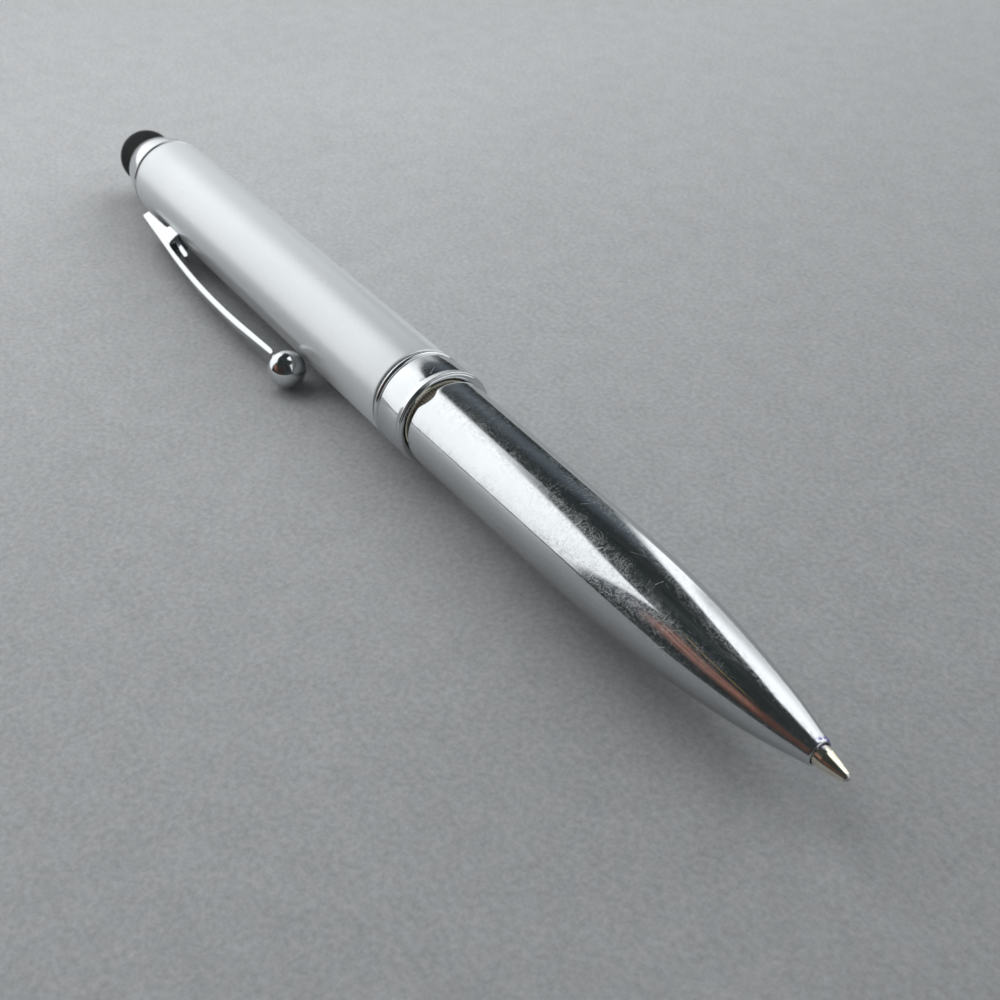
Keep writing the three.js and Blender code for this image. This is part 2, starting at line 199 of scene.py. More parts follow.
def band(first, second):
    """Faces between two rings of vertex indices; a ring of one index is a point."""
    count = max(len(first), len(second))
    faces = []
    for k in range(count):
        j = (k + 1) % count
        if len(first) == 1:
            faces.append((first[0], second[k], second[j]))
        elif len(second) == 1:
            faces.append((first[k], first[j], second[0]))
        else:
            faces.append((first[k], first[j], second[j], second[k]))
    return faces


def index_rows(rings):
    """Vertex indices of equally long rings of points, laid one after another."""
    count = len(rings[0])
    return [range(i * count, (i + 1) * count) for i in range(len(rings))]


def lathe(name, profile, sides=160, place=at, shift=None):
    """A turned piece. The profile is a closed loop, or an open one whose ends lie on the axis.
    place(along, radius, angle) gives the point, shift(along, angle) a push along the axis."""
    points, rings = [], []
    for along, radius in profile:
        first = len(points)
        if radius < 1e-6:
            points.append(place(along, 0.0, 0.0))
        else:
            for k in range(sides):
                angle = 360.0 * k / sides - 180.0
                push = shift(along, angle) if shift else 0.0
                points.append(place(along + push, radius, angle))
        rings.append(range(first, len(points)))
    is_open = profile[0][1] < 1e-6 and profile[-1][1] < 1e-6
    following = rings[1:] if is_open else rings[1:] + rings[:1]
    faces = [face for pair in zip(rings, following) for face in band(*pair)]
    return make_mesh(name, points, faces)


def plain_tube(name, start, end, outer, inner, rounding):
    """A turned tube of constant radii with rounded rims."""
    ends = tube([(start, outer), (end, outer)], [(start, inner), (end, inner)])
    return lathe(name, rounded(ends, rounding), 128)


def loft(name, rings):
    """Closed body through equally long closed rings of points, with flat ends."""
    rows = index_rows(rings)
    faces = [face for pair in zip(rows, rows[1:]) for face in band(*pair)]
    faces += [tuple(reversed(rows[0])), tuple(rows[-1])]
    return make_mesh(name, [point for ring in rings for point in ring], faces)


def combine(piece, tool, operation="DIFFERENCE"):
    """The piece cut by (or joined with) the tool, which is used up."""
    modifier = piece.modifiers.new("cut", "BOOLEAN")
    modifier.operation, modifier.solver, modifier.object = operation, "EXACT", tool
    graph = bpy.context.evaluated_depsgraph_get()
    mesh = bpy.data.meshes.new_from_object(piece.evaluated_get(graph), depsgraph=graph)
    piece.modifiers.clear()
    old = piece.data
    piece.data = mesh
    bpy.data.meshes.remove(old)
    bpy.data.objects.remove(tool, do_unlink=True)
    work = bmesh.new()
    work.from_mesh(mesh)
    bmesh.ops.remove_doubles(work, verts=work.verts, dist=2e-7)
    bmesh.ops.dissolve_degenerate(work, edges=work.edges, dist=1e-7)
    shade(work, 34.0)
    work.to_mesh(mesh)
    work.free()
    return piece


def slab(name, outline, half_width, bevel, crown=lambda along, height, share: 0.0, steps=6):
    """An outline in the clip's plane given a width and rounded rims.
    half_width(along) is half the width; crown(along, height, share) lifts a point that lies
    at that share of the half width."""
    corners = np.array(outline, float)
    following = np.roll(corners, -1, 0)
    area = 0.5 * float(
        np.sum(corners[:, 0] * following[:, 1] - following[:, 0] * corners[:, 1])
    )
    if area < 0:
        corners = corners[::-1].copy()
    sides = np.roll(corners, -1, 0) - corners
    sides /= np.linalg.norm(sides, axis=1)[:, None]
    side_normals = np.stack([sides[:, 1], -sides[:, 0]], 1)
    normals = side_normals + np.roll(side_normals, 1, 0)
    normals /= np.maximum(np.linalg.norm(normals, axis=1), 0.5)[:, None]

    def ring(inset, share, depth):
        """Outline drawn in by depth, at a share of the half width less the inset."""
        points = []
        for (along, height), (normal_along, normal_up) in zip(corners, normals):
            half = half_width(along)
            offset = (half - inset) * share
            lift = crown(along, height, abs(offset) / half)
            points.append(
                at(
                    along - normal_along * depth,
                    height - normal_up * depth + lift,
                    CLIP_ANGLE,
                    offset,
                )
            )
        return points

    turns = [math.radians(90.0 * k / 4) for k in range(5)]
    rim = [(bevel * (1 - math.cos(turn)), bevel * (1 - math.sin(turn))) for turn in turns]
    rings = [ring(inset, 1, depth) for inset, depth in rim]
    rings += [ring(bevel, 1 - 2 * k / steps, 0.0) for k in range(1, steps)]
    rings += [ring(inset, -1, depth) for inset, depth in reversed(rim)]
    return loft(name, rings)


# ------------------------------------------------------------------ node graphs
class Graph:
    """A cleared node tree to which nodes are added."""

    def __init__(self, tree):
        self.tree = tree
        tree.nodes.clear()

    def put(self, socket, value):
        if isinstance(value, Value):
            self.tree.links.new(value.socket, socket)
        else:
            socket.default_value = value

    def node(self, kind, inputs=None, **props):
        node = self.tree.nodes.new(kind)
        for key, value in props.items():
            setattr(node, key, value)
        for key, value in (inputs or {}).items():
            self.put(node.inputs[key], value)
        return node

    def value(self, kind, inputs=None, output=0, **props):
        return Value(self, self.node(kind, inputs, **props).outputs[output])

    def math(self, operation, first, second, clamp=False):
        inputs = {0: first, 1: second}
        return self.value("ShaderNodeMath", inputs, operation=operation, use_clamp=clamp)


class Value:
    """A node output; each operation on it adds a node."""

    def __init__(self, graph, socket):
        self.graph, self.socket = graph, socket

    def math(self, operation, other=0.0, clamp=False):
        return self.graph.math(operation, self, other, clamp)

    def __add__(self, other):
        return self.math("ADD", other)

    __radd__ = __add__

    def __sub__(self, other):
        return self.math("SUBTRACT", other)

    def __rsub__(self, other):
        return self.graph.math("SUBTRACT", other, self)

    def __mul__(self, other):
        return self.math("MULTIPLY", other)

    def __truediv__(self, other):
        return self.math("DIVIDE", other)

    def __abs__(self):
        return self.math("ABSOLUTE")

    def most(self, other):
        return self.math("MAXIMUM", other)

    def least(self, other):
        return self.math("MINIMUM", other)

    def ease(self, start, end, to=(0.0, 1.0), curve="SMOOTHSTEP"):
        """Goes smoothly from to[0] at start to to[1] at end; start may be the larger."""
        inputs = dict(enumerate((self, start, end, *to)))
        return self.graph.value("ShaderNodeMapRange", inputs, interpolation_type=curve)

    def ramp(self, start, end, to):
        """Like ease, in a straight line."""
        return self.ease(start, end, to, "LINEAR")

    def split(self):
        node = self.graph.node("ShaderNodeSeparateXYZ", {0: self})
        return [Value(self.graph, output) for output in node.outputs]

    def mix(self, first, second):
        """The first colour where this value is 0, the second where it is 1."""
        inputs = {0: self, 6: colour_input(first), 7: colour_input(second)}
        return self.graph.value(
            "ShaderNodeMix", inputs, 2, data_type="RGBA", clamp_factor=True
        )

    def scale_colour(self, colour):
        grey = self.graph.value("ShaderNodeCombineColor", {0: self, 1: self, 2: self})
        inputs = {0: 1.0, 6: colour_input(colour), 7: grey}
        return self.graph.value(
            "ShaderNodeMix", inputs, 2, data_type="RGBA", blend_type="MULTIPLY"
        )

    def noise(self, scale, detail=2.0, rough=0.5, warp=0.0):
        names = ("Vector", "Scale", "Detail", "Roughness", "Distortion")
        inputs = dict(zip(names, (self, scale, detail, rough, warp)))
        return self.graph.value("ShaderNodeTexNoise", inputs, noise_dimensions="3D")

    def cells(self, scale):
        """Distance to the nearest of randomly strewn points."""
        inputs = {"Vector": self, "Scale": scale, "Randomness": 1.0}
        return self.graph.value("ShaderNodeTexVoronoi", inputs, "Distance", feature="F1")


def colour_input(colour):
    return colour if isinstance(colour, Value) else (*colour, 1.0)


def vector(x, y, z):
    return x.graph.value("ShaderNodeCombineXYZ", {0: x, 1: y, 2: z})


def bump(height, distance, strength=1.0, under=None):
    """Normal of a height pattern, distance in metres, on top of the normal `under`."""
    inputs = {"Strength": strength, "Distance": distance, "Height": height}
    if under is not None:
        inputs["Normal"] = under
    return height.graph.value("ShaderNodeBump", inputs)


class Shaded:
    """Where the shaded point lies, in mm and degrees; each part is built when first used."""

    def __init__(self, graph):
        self.graph = graph

    @cached_property
    def point(self):
        place = self.graph.value("ShaderNodeTexCoord", output="Object")
        return self.graph.value("ShaderNodeVectorMath", {0: place, 3: 1000.0}, operation="SCALE")

    @cached_property
    def parts(self):
        return self.point.split()

    @cached_property
    def along(self):
        return self.parts[0] - SEAM

    @cached_property
    def offsets(self):
        """Distances from the axis towards -Y and +Z."""
        return (self.parts[1] - AXIS_Y) * -1.0, self.parts[2] - AXIS_Z

    @cached_property
    def angle(self):
        return self.offsets[0].math("ARCTAN2", self.offsets[1]) * (180.0 / math.pi)

    @cached_property
    def radius(self):
        near, up = self.offsets
        return (near * near + up * up).math("SQRT")


def material(name, look, colour, metallic, roughness):
    """look(shaded) gives the shader inputs, and "see-through" where the surface is open.
    The plain colour also shows in the viewport; linked inputs take the place of plain ones."""
    made = bpy.data.materials.new(name)
    made.use_nodes = True
    made.diffuse_color = (*colour, 1.0)
    graph = Graph(made.node_tree)
    shader = graph.node(
        "ShaderNodeBsdfPrincipled",
        {"Base Color": (*colour, 1.0), "Metallic": metallic, "Roughness": roughness},
    )
    inputs = look(Shaded(graph))
    opening = inputs.pop("see-through", None)
    for key, value in inputs.items():
        graph.put(shader.inputs[key], value)
    surface = Value(graph, shader.outputs[0])
    if opening is not None:
        clear = graph.value("ShaderNodeBsdfTransparent")
        surface = graph.value("ShaderNodeMixShader", {0: opening, 1: surface, 2: clear})
    graph.node("ShaderNodeOutputMaterial", {0: surface})
    return made


def streaks(u, v, direction, length, width, seed, limits, sway):
    """Thin scratches along one direction of the (u, v) plane, in mm and degrees.
    They show where a noise passes from limits[0] to limits[1]; sway bends them."""
    turn = math.radians(direction)
    forward = u * math.cos(turn) + v * math.sin(turn)
    across = v * math.cos(turn) - u * math.sin(turn)
    across = across + (vector(u, v, seed * 3.1).noise(scale=0.35, detail=1.0) - 0.5) * sway
    stretched = vector(forward / length, across / width, seed * 7.7)
    return stretched.noise(scale=1.0, detail=1.0, rough=0.4).ease(*limits)


def line_mark(u, v, start, end, width):
    """One straight scratch from start to end in the (u, v) plane, in mm."""
    run_u, run_v = end[0] - start[0], end[1] - start[1]
    from_u, from_v = u - start[0], v - start[1]
    share = (from_u * run_u + from_v * run_v).math(
        "MULTIPLY", 1.0 / (run_u * run_u + run_v * run_v), clamp=True
    )
    off_u, off_v = from_u - share * run_u, from_v - share * run_v
    distance = (off_u * off_u + off_v * off_v).math("SQRT")
    return distance.ease(width, width * 0.35)


# ------------------------------------------------------------------ materials
CHROME = (0.61, 0.628, 0.642)
# Buffing scratches: direction in degrees, length and width in mm.
FINE_STREAKS = (
    (14.0, 0.70, 0.042), (-36.0, 0.60, 0.040), (72.0, 0.75, 0.040),
    (-76.0, 0.60, 0.040), (88.0, 0.65, 0.040), (-8.0, 0.75, 0.040),
)
DEEP_STREAKS = ((25.0, 1.8, 0.05), (-55.0, 1.4, 0.045))
# Single scratches: start and end as (along, distance round the pen), and width, all in mm.
BARREL_MARKS = (
    ((108.6, 6.1), (109.6, 5.4), 0.035), ((113.9, 6.9), (114.5, 5.6), 0.04),
    ((89.4, -0.9), (90.1, -1.4), 0.03), ((91.5, -0.2), (91.75, -0.35), 0.045),
    ((93.6, 0.35), (94.0, -0.3), 0.03), ((101.2, 0.6), (102.4, -0.1), 0.03),
    ((98.2, 3.2), (99.0, 2.1), 0.028), ((105.3, 1.4), (105.5, 0.6), 0.03),
)
RING_MARKS = (((68.05, -0.15), (68.75, 0.75), 0.05),)


def chrome(base_rough, swirl, seed, radius, marks=(), ink=None):
    """Polished plating: fine buffing haze, short scratches in patches, a few single marks.
    swirl is the strength of the wear, radius the pen's radius where it is used."""

    def look(pen):
        point, along = pen.point, pen.along
        around = pen.angle * (math.pi / 180.0 * radius)

        def scratches(table, first_seed, limits, sway):
            sets = [
                streaks(along, around, *row, first_seed + k, limits, sway)
                for k, row in enumerate(table)
            ]
            return reduce(Value.most, sets)

        patches = point.noise(scale=0.22, detail=3.0, rough=0.6).ease(0.40, 0.64)
        fine = scratches(FINE_STREAKS, seed, limits=(0.675, 0.735), sway=0.14)
        deep = scratches(DEEP_STREAKS, seed + 20, limits=(0.735, 0.78), sway=0.3)
        haze = point.noise(scale=8.5, detail=3.0, rough=0.65).ease(0.52, 0.66)
        wear = (fine * (patches * 0.45 + 0.55)).most(deep)
        smudge = point.noise(scale=0.45, detail=4.0, rough=0.6, warp=0.6)
        rough = (
            smudge.ease(0.35, 0.75) * (0.012 * swirl)
            + wear * (0.17 * swirl)
            + haze * (0.022 * swirl)
            + base_rough
        )
        height = wear * -1.0 + point.noise(scale=5.0, detail=2.0, rough=0.6) * 0.5
        if marks:
            single = reduce(Value.most, [line_mark(along, around, *mark) for mark in marks])
            rough = rough + single * 0.25
            height = height - single * 3.0
        cloud = point.noise(scale=0.2, detail=3.0, rough=0.55).ease(0.3, 0.7)
        colour = cloud.mix(CHROME, tuple(part * 0.965 for part in CHROME))
        inputs = {}
        if ink is not None:
            stain = ink(pen)
            colour = stain.mix(colour, (0.085, 0.06, 0.40))
            rough = rough + stain * 0.25
            inputs["Metallic"] = 1.0 - stain * 0.75
        ripple = bump(point.noise(scale=0.25, detail=1.0, rough=0.5), distance=0.000004)
        normal = bump(height, distance=0.0000014 * swirl, under=ripple)
        return {**inputs, "Base Color": colour, "Roughness": rough, "Normal": normal}

    return look


def nose_ink(pen):
    """Ink blots round part of the lower barrel's front rim."""
    rim = pen.along.ease(123.35, 123.95)
    side = pen.angle.ease(28.0, 8.0) * pen.angle.ease(-96.0, -78.0)
    blot = pen.point.noise(scale=3.4, detail=4.0, rough=0.65, warp=0.5).ease(0.47, 0.6)
    return (rim * side).math("MULTIPLY", blot, clamp=True)


def satin(pen):
    """Silver lacquer with fine flakes and sparse dark specks."""
    point = pen.point
    flake = point.noise(scale=11.0, rough=0.7)
    grain = point.noise(scale=4.6, detail=3.0, rough=0.7)
    cloud = point.noise(scale=0.10, detail=3.0)
    sparse = point.noise(scale=0.35, detail=1.0).ease(0.55, 0.62)
    speck = point.cells(scale=1.1).ease(0.055, 0.03) * sparse
    rub = streaks(
        pen.along,
        pen.angle * 0.0932,  # mm round the barrel for each degree
        direction=8.0, length=2.4, width=0.06, seed=5.0, limits=(0.70, 0.78), sway=2.0,
    )
    colour = flake.ease(0.3, 0.7).mix((0.77, 0.81, 0.825), (0.84, 0.86, 0.87))
    colour = (cloud.ease(0.35, 0.7) * 0.5).mix(colour, (0.79, 0.83, 0.855))
    colour = (1.0 + (grain - 0.5) * 0.16).scale_colour(colour)
    rough = grain.ease(0.3, 0.7) * 0.07 + cloud.ease(0.3, 0.7) * 0.04 + 0.285 - rub * 0.06
    fine = bump(flake + grain * 0.8, distance=0.000006)
    return {
        "Base Color": (speck * 0.5).mix(colour, (0.45, 0.46, 0.46)),
        "Roughness": rough,
        "Coat Weight": 0.5,
        "Coat Roughness": 0.18,
        "Coat IOR": 1.6,
        "Normal": bump(point.noise(scale=1.4) + rub * 0.2, distance=0.000006, under=fine),
    }


def rubber(pen):
    """Dusty black rubber, a little smoother at the dome's end."""
    dust = pen.point.noise(scale=2.6, detail=5.0, rough=0.7).ease(0.52, 0.78)
    speck = pen.point.cells(scale=2.4).ease(0.09, 0.04)
    worn = pen.along.ease(-10.6, -12.4)
    dirt = dust * 0.35 + speck * 0.3
    return {
        "Base Color": dirt.mix((0.005, 0.0055, 0.0065), (0.035, 0.037, 0.039)),
        "Roughness": 0.62 - worn * 0.12 + dust * 0.15,
        "Specular IOR Level": 0.13,
        "Normal": bump(pen.point.noise(scale=9.0, detail=3.0, rough=0.6), distance=0.00002),
    }


def turned_metal(base, dark, rough, ring=5.0, tarnish=0.5):
    """Lathe-cut metal: fine turning rings, `ring` to the mm, and tarnish in patches."""

    def look(pen):
        stretched = vector(pen.along * ring, pen.radius * ring, pen.angle * 0.004)
        rings = stretched.noise(scale=1.0, detail=3.0, rough=0.7)
        patch = pen.point.noise(scale=0.7, detail=4.0, rough=0.6, warp=0.4).ease(0.4, 0.72)
        spot = pen.point.cells(scale=1.7).ease(0.12, 0.04)
        colour = (patch * tarnish + spot * 0.25).mix(base, dark)
        return {
            "Base Color": (rings.ease(0.35, 0.65) * 0.22).mix(colour, dark),
            "Roughness": rings.ease(0.3, 0.7) * 0.12 + patch * 0.1 + rough,
            "Normal": bump(rings, distance=0.000004),
        }

    return look


def knurled_brass(pen):
    """Oily brass, bright on the tops of the splines."""
    oil = pen.point.noise(scale=1.3, detail=4.0, rough=0.65, warp=0.4).ease(0.38, 0.68)
    bright = pen.radius.ease(4.14, 4.23)
    colour = (oil * 0.75).mix((0.80, 0.77, 0.64), (0.50, 0.475, 0.37))
    colour = (bright * 0.65).mix(colour, (0.90, 0.88, 0.78))
    # Light thrown on the neck by the polished edges around the gap, most of it in the notch.
    glow = pen.along.ease(70.60, 70.84, to=(0.016, 0.42)) * (bright * 0.5 + 0.5)
    return {
        "Base Color": colour,
        "Roughness": 0.30 + oil * 0.22,
        "Emission Color": colour,
        "Emission Strength": glow,
        "Normal": bump(pen.point.noise(scale=8.0, detail=3.0, rough=0.6), distance=0.000006),
    }


def tip_metal(pen):
    """Bright nickel silver with an ink smear near the barrel's mouth."""
    stretched = vector(pen.along * 9.0, pen.radius * 9.0, pen.angle * 0.003)
    rings = stretched.noise(scale=1.0, rough=0.6)
    smear = (
        pen.along.ease(125.0, 124.2)
        * pen.angle.ease(45.0, 5.0)
        * pen.angle.ease(-120.0, -80.0)
        * pen.point.noise(scale=2.4, detail=3.0, rough=0.6).ease(0.42, 0.6)
    )
    cloud = pen.point.noise(scale=1.2, detail=3.0).ease(0.35, 0.7)
    colour = cloud.mix((0.80, 0.775, 0.67), (0.72, 0.675, 0.53))
    return {
        "Base Color": (smear * 0.8).mix(colour, (0.10, 0.07, 0.30)),
        "Roughness": rings.ease(0.3, 0.7) * 0.05 + 0.11 + smear * 0.2,
        "Normal": bump(rings, distance=0.000002),
    }


def nylon(pen):
    cloud = pen.point.noise(scale=0.9, detail=4.0, rough=0.6)
    return {
        "Base Color": cloud.ease(0.35, 0.7).mix((0.80, 0.78, 0.71), (0.70, 0.675, 0.59)),
        "Roughness": 0.42 + cloud * 0.16,
        "Subsurface Weight": 0.15,
        "Subsurface Scale": 0.0008,
        "Normal": bump(pen.point.noise(scale=6.0, detail=3.0), distance=0.00001),
    }


def seal_rubber(pen):
    grease = pen.point.noise(scale=1.1, detail=3.0).ease(0.4, 0.65)
    return {
        "Base Color": grease.mix((0.03, 0.021, 0.017), (0.06, 0.045, 0.035)),
        "Roughness": 0.62 - grease * 0.28,
        "Normal": bump(pen.point.noise(scale=7.0, detail=3.0), distance=0.00001),
    }


def ink_paste(pen):
    thick = pen.point.noise(scale=1.4, detail=3.0, rough=0.6)
    return {
        "Base Color": thick.ease(0.3, 0.7).mix((0.010, 0.008, 0.14), (0.028, 0.016, 0.26)),
        "Roughness": 0.14 + thick * 0.12,
        "Normal": bump(thick, distance=0.00002),
    }


brass = turned_metal(base=(0.72, 0.55, 0.27), dark=(0.42, 0.30, 0.13), rough=0.22)
steel = turned_metal((0.62, 0.62, 0.61), (0.36, 0.36, 0.35), rough=0.18, ring=8.0, tarnish=0.25)
trim_chrome = chrome(base_rough=0.035, swirl=0.55, seed=3.0, radius=5.2)
ring_chrome = chrome(base_rough=0.03, swirl=0.6, seed=11.0, radius=5.4, marks=RING_MARKS)
barrel_chrome = chrome(
    base_rough=0.03, swirl=1.0, seed=1.0, radius=4.6, marks=BARREL_MARKS, ink=nose_ink
)
# Key: name, look, plain colour, metallic, roughness.
LOOK_TABLE = {
    "satin_barrel": ("satin_lacquer", satin, (0.80, 0.83, 0.845), 0.38, 0.36),
    "chrome_trim": ("polished_chrome", trim_chrome, CHROME, 1.0, 0.05),
    "ring_chrome": ("ring_chrome", ring_chrome, CHROME, 1.0, 0.05),
    "chrome_barrel": ("scuffed_chrome", barrel_chrome, CHROME, 1.0, 0.06),
    "stylus_rubber": ("soft_black_rubber", rubber, (0.02, 0.02, 0.022), 0.0, 0.65),
    "brass": ("turned_brass", brass, (0.66, 0.5, 0.25), 1.0, 0.3),
    "neck_brass": ("knurled_brass", knurled_brass, (0.66, 0.63, 0.52), 0.25, 0.4),
    "steel": ("ground_steel", steel, (0.58, 0.58, 0.57), 1.0, 0.25),
    "refill_metal": ("nickel_silver", tip_metal, (0.76, 0.70, 0.50), 1.0, 0.15),
    "nylon": ("moulded_nylon", nylon, (0.76, 0.74, 0.66), 0.0, 0.5),
    "seal_rubber": ("nitrile_seal", seal_rubber, (0.04, 0.03, 0.025), 0.0, 0.5),
    "ink": ("blue_ink_paste", ink_paste, (0.02, 0.012, 0.2), 0.0, 0.2),
}
LOOKS = {key: material(*row) for key, row in LOOK_TABLE.items()}


def dress(piece, look):
    piece.data.materials.clear()
    piece.data.materials.append(LOOKS[look])


def use(piece, body, slot, *nodes, look=None):
    """Dresses a piece, ties it to a moving body and hides the CAD nodes it stands for."""
    dress(piece, look or slot)
    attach(piece, body)
    if nodes:
        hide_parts(*nodes)


# ------------------------------------------------------------------ stylus end
THREAD_START, THREAD_PITCH, THREAD_ROOT = 1.2, 1.5, 4.0
# One thread ridge: distance from its start, radius.
THREAD = [(0.0, THREAD_ROOT), (0.18, 4.13), (0.25, 4.16), (0.32, 4.13), (0.5, THREAD_ROOT)]

collar_profile = [
    (-2.9, 0.0), (-2.9, 3.30), (-2.93, 3.38), (-3.0, 3.42), (-6.24, 3.42), (-6.31, 3.46),
    (-6.35, 3.56), (-6.35, 3.70), (-6.31, 3.79),
]
collar_profile += swept([(-6.2, 3.86), (-4.6, 4.4), (-2.6, 4.9), (-1.0, 5.15)], 36)
collar_profile += [(-0.90, 5.155), (-0.84, 5.165), (-0.805, 5.19)]
collar_profile += arc(-0.49, 5.07, 0.262, 158.0, 8.0, 16)
collar_profile += [
    (-0.19, 5.07), (-0.13, 5.03), (-0.07, 5.02), (-0.07, 4.9), (-0.07, 4.1), (-0.03, 4.05),
    (0.6, THREAD_ROOT),
]
for i in range(4):
    collar_profile += moved(THREAD, THREAD_START + THREAD_PITCH * i)
collar_profile += [(6.6, THREAD_ROOT), (6.85, 3.85), (6.9, 3.7), (6.9, 0.0)]
collar = lathe("chrome_stylus_collar", collar_profile, 192)
use(collar, "upper", "chrome_trim", "stylus_collar")

DOME_CENTRE, DOME_RADIUS, DOME_BORE = -8.93, 3.72, 2.7


def dome_arc(radius, angles):
    """Quarter circle about the dome's centre, 0 degrees at the side and 90 at the rear."""
    return [
        (
            DOME_CENTRE - radius * math.sin(math.radians(angle)),
            radius * math.cos(math.radians(angle)),
        )
        for angle in angles
    ]


dome_inner = [(DOME_CENTRE - DOME_BORE, 0.0)]
dome_inner += dome_arc(DOME_BORE, np.linspace(90, 0, 20)[1:])
dome_inner += [(-6.4, DOME_BORE), (-5.6, 2.56), (-3.0, 2.56)]
dome_outer = [(-3.0, 3.36), (-6.38, 3.36), (-6.38, 3.66), (-6.42, 3.705), (-6.5, DOME_RADIUS)]
dome_outer += [(DOME_CENTRE + 1.6, DOME_RADIUS), (DOME_CENTRE + 0.8, DOME_RADIUS)]
dome_outer += dome_arc(DOME_RADIUS, np.linspace(0, 90, 40)[:-1])
dome_outer += [(DOME_CENTRE - DOME_RADIUS, 0.0)]
dome = lathe("rubber_stylus_tip", dome_inner + dome_outer)
use(dome, "upper", "stylus_rubber", "stylus_dome")

plug_profile = [
    (-7.4, 0.0), (-7.4, 1.6), (-7.1, 1.9), (-5.7, 1.9), (-5.4, 2.48), (-3.0, 2.48), (-3.0, 0.0),
]
plug = lathe("stylus_plug", rounded(plug_profile, 0.12, 4, closed=False, least=20), 96)
use(plug, "upper", "nylon", "dome_plug")

bush = plain_tube("threaded_collar_bush", 0.25, 7.0, outer=4.7, inner=4.22, rounding=0.1)
use(bush, "upper", "brass", "collar_bush")

# ------------------------------------------------------------------ upper barrel
BARREL_RADIUS, BARREL_BORE, BARREL_END = 5.34, 4.75, 64.45
FORWARD = 0.55  # how far the clip's outlines and slot are moved towards the tip
SLOT_START, SLOT_END, SLOT_HALF = 9.8 + FORWARD, 13.5 + FORWARD, 1.5
SLOT_ANGLE = 16.9  # the lines of vertices nearest this are moved onto the slot's long edges


def slotted_barrel(name, sides=192):
    """The barrel's tube with a straight-sided slot for the clip's foot."""
    outer = [
        (0.0, 5.10), (0.012, 5.19), (0.05, 5.255), (0.12, 5.305), (0.24, 5.332),
        (0.4, BARREL_RADIUS), (4.0, BARREL_RADIUS), (SLOT_START - 0.12, BARREL_RADIUS),
        (SLOT_START, BARREL_RADIUS), (SLOT_END, BARREL_RADIUS),
        (SLOT_END + 0.12, BARREL_RADIUS),
    ]
    outer += [(along, BARREL_RADIUS) for along in np.linspace(16.0, BARREL_END - 0.3, 14)]
    outer += [
        (BARREL_END - 0.14, 5.332), (BARREL_END - 0.06, 5.31), (BARREL_END - 0.012, 5.275),
        (BARREL_END, 5.22),
    ]
    inner = [
        (0.0, 4.86), (0.08, BARREL_BORE), (SLOT_START, BARREL_BORE), (SLOT_END, BARREL_BORE),
        (BARREL_END - 0.06, BARREL_BORE), (BARREL_END, 4.81),
    ]
    step = 360.0 / sides
    edge_line = int(round(SLOT_ANGLE / step))

    def rings(profile, wall_radius):
        edge = math.degrees(math.asin(SLOT_HALF / wall_radius))
        angles = [step * k for k in range(sides)]
        angles[edge_line], angles[-edge_line] = edge, 360.0 - edge
        return [
            [at(along, radius, CLIP_ANGLE + angle) for angle in angles]
            for along, radius in profile
        ]

    def in_slot(j):
        return j < edge_line or j >= sides - edge_line

    walls = rings(outer, BARREL_RADIUS) + rings(inner, BARREL_BORE)
    rows = index_rows(walls)
    faces, slot_rows = [], []
    for profile, wall in ((outer, rows[: len(outer)]), (inner, rows[len(outer) :])):
        slot_ring = [along for along, _ in profile].index(SLOT_START)
        slot_rows.append(wall[slot_ring : slot_ring + 2])
        for i, pair in enumerate(zip(wall, wall[1:])):
            faces += [
                face
                for j, face in enumerate(band(*pair))
                if not (i == slot_ring and in_slot(j))
            ]
    (outer_rear, outer_front), (inner_rear, inner_front) = slot_rows
    rim_out, rim_in = rows[0], rows[len(outer)]
    end_out, end_in = rows[len(outer) - 1], rows[-1]
    for j in range(sides):
        k = (j + 1) % sides
        faces.append((rim_out[j], rim_in[j], rim_in[k], rim_out[k]))
        faces.append((end_out[j], end_out[k], end_in[k], end_in[j]))
        if in_slot(j):
            faces.append((outer_rear[j], outer_rear[k], inner_rear[k], inner_rear[j]))
            faces.append((outer_front[k], outer_front[j], inner_front[j], inner_front[k]))
    for j in (edge_line, sides - edge_line):
        faces.append((outer_rear[j], outer_front[j], inner_front[j], inner_rear[j]))
    points = [point for ring in walls for point in ring]
    return make_mesh(name, points, faces, sharp=32.0)


use(slotted_barrel("satin_upper_barrel"), "upper", "satin_barrel", "upper_barrel")

retainer = plain_tube("clip_retaining_tube", 7.05, 17.0, outer=3.84, inner=3.2, rounding=0.1)
use(retainer, "upper", "brass", "clip_retainer")

# ------------------------------------------------------------------ spring clip
# One sprung plate from foot to ball. Outlines are (along, height over the axis), drawn
# FORWARD mm too far to the rear.
root_rear = [
    (4.0, 6.42), (4.02, 6.56), (4.12, 6.66), (6.0, 6.838), (8.0, 7.027), (10.0, 7.216),
    (12.0, 7.405),
]
arm_outer = [
    (13.0, 7.5), (16.5, 7.85), (20.0, 8.12), (24.0, 8.33), (28.0, 8.42), (32.0, 8.42),
    (36.0, 8.29), (40.0, 8.06), (43.9, 7.83),
]
arm_end = [(43.97, 7.76), (43.97, 7.50), (43.8, 7.38)]
arm_inner = [
    (14.1, 7.03), (16.5, 7.24), (20.0, 7.46), (24.0, 7.65), (28.0, 7.73), (32.0, 7.72),
    (36.0, 7.59), (40.0, 7.40), (43.2, 7.25),
]
arch = [
    (13.75, 6.95), (13.52, 6.86), (13.36, 6.74), (13.24, 6.58), (13.16, 6.4), (13.1, 6.15),
    (13.04, 5.85),
]
foot = [
    (13.0, 5.2), (13.0, 4.02), (12.93, 3.95), (8.7, 3.95), (8.6, 4.05), (8.6, 4.34),
    (8.68, 4.42), (9.95, 4.42), (10.07, 4.48), (10.1, 4.6), (10.1, 5.36), (10.02, 5.45),
    (9.6, 5.56),
]
underside = [(8.0, 5.585), (6.0, 5.6), (4.4, 5.615), (4.16, 5.64), (4.07, 5.75)]
